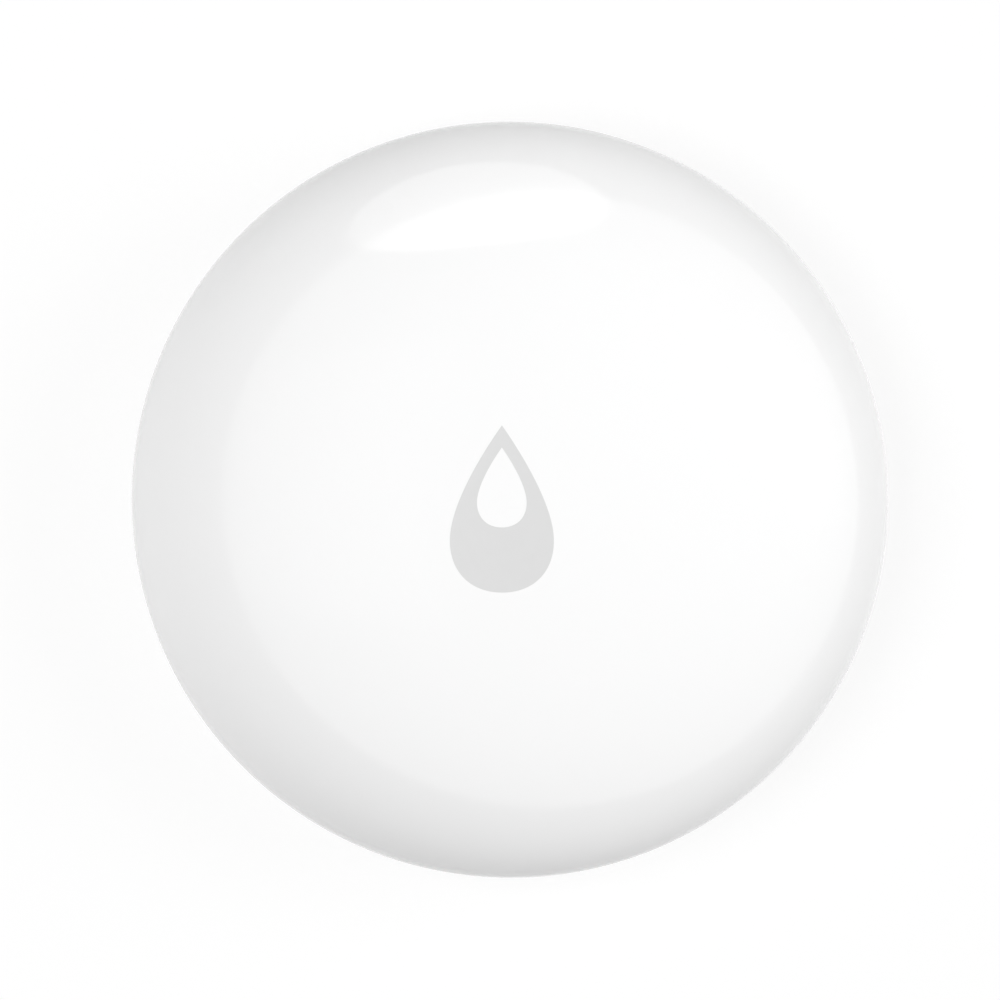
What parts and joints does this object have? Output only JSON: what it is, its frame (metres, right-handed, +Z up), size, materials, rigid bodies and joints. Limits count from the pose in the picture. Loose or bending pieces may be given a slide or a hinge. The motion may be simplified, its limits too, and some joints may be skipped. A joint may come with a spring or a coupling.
{
  "type": "water leak sensor",
  "caption": "Round domed puck that stands on two metal probes and senses water on a floor; the sprung dome is its press button, and a coin-turned cover closes the cell bay.",
  "frame": {"origin": "centre of the footprint, on the floor that the probes and feet stand on", "axes": "+Z up through the dome, +Y towards the point of the drop sign, +X to the right of the sign, along the line through the two probes"},
  "size_m": [0.05, 0.05, 0.015],
  "materials": {
    "dome_white": "glossy white moulded plastic",
    "base_white": "satin white moulded plastic",
    "cover_white": "fine-textured white moulded plastic",
    "lid_natural": "natural moulded plastic",
    "silicone": "translucent grey silicone",
    "seal_black": "black rubber O-ring",
    "clear_guide": "clear moulded light guide",
    "board_green": "green solder mask over glass laminate",
    "chip_black": "black moulding compound",
    "copper": "copper track",
    "ceramic_tan": "ceramic chip parts",
    "led_resin": "clear resin over a white base",
    "steel": "stainless steel",
    "nickel": "nickel plated steel",
    "brass": "turned brass"
  },
  "bodies": {
    "base": {"base_shell": "base_white", "inner_cover": "lid_natural", "chamber_gasket": "silicone", "button_membrane": "silicone", "light_guide": "clear_guide", "circuit_board": "board_green", "radio_chip": "chip_black", "crystal": "nickel", "board_passives": "ceramic_tan", "board_antenna": "copper", "status_led": "led_resin", "switch_body": "chip_black", "switch_frame": "nickel", "board_screws": "steel", "contact_positive": "nickel", "contact_negative": "nickel", "cell_can": "steel", "cell_cap": "steel", "cell_grommet": "silicone", "probe_left": "steel", "probe_right": "steel", "probe_seals": "seal_black", "probe_standoffs": "brass"},
    "cap": {"dome_cap": "dome_white"},
    "plunger": {"switch_plunger": "chip_black"},
    "seal": {"cover_seal": "seal_black"},
    "cover": {"battery_cover": "cover_white"}
  },
  "joints": [
    {"name": "cap_press", "type": "slide", "parent": "base", "child": "cap", "axis": [0, 0, -1], "range_m": [0, 0.0003], "stiffness_N_per_m": 5000, "springref_m": -0.00003, "deforming": ["button_membrane"]},
    {"name": "plunger_press", "type": "slide", "parent": "base", "child": "plunger", "axis": [0, 0, -1], "range_m": [0, 0.0003], "stiffness_N_per_m": 0.02, "springref_m": -0.0037},
    {"name": "cover_drop", "type": "slide", "parent": "base", "child": "seal", "axis": [0, 0, -1], "range_m": [0, 0.0005]},
    {"name": "cover_turn", "type": "hinge", "parent": "seal", "child": "cover", "pos_m": [0, 0, 0.0006], "axis": [0, 0, -1], "range_deg": [0, 45]}
  ],
  "couplings": [
    {"joint": "plunger_press", "follows": "cap_press", "ratio": 1},
    {"joint": "cover_turn", "follows": "cover_drop", "rad_per_m": 1570.8}
  ]
}
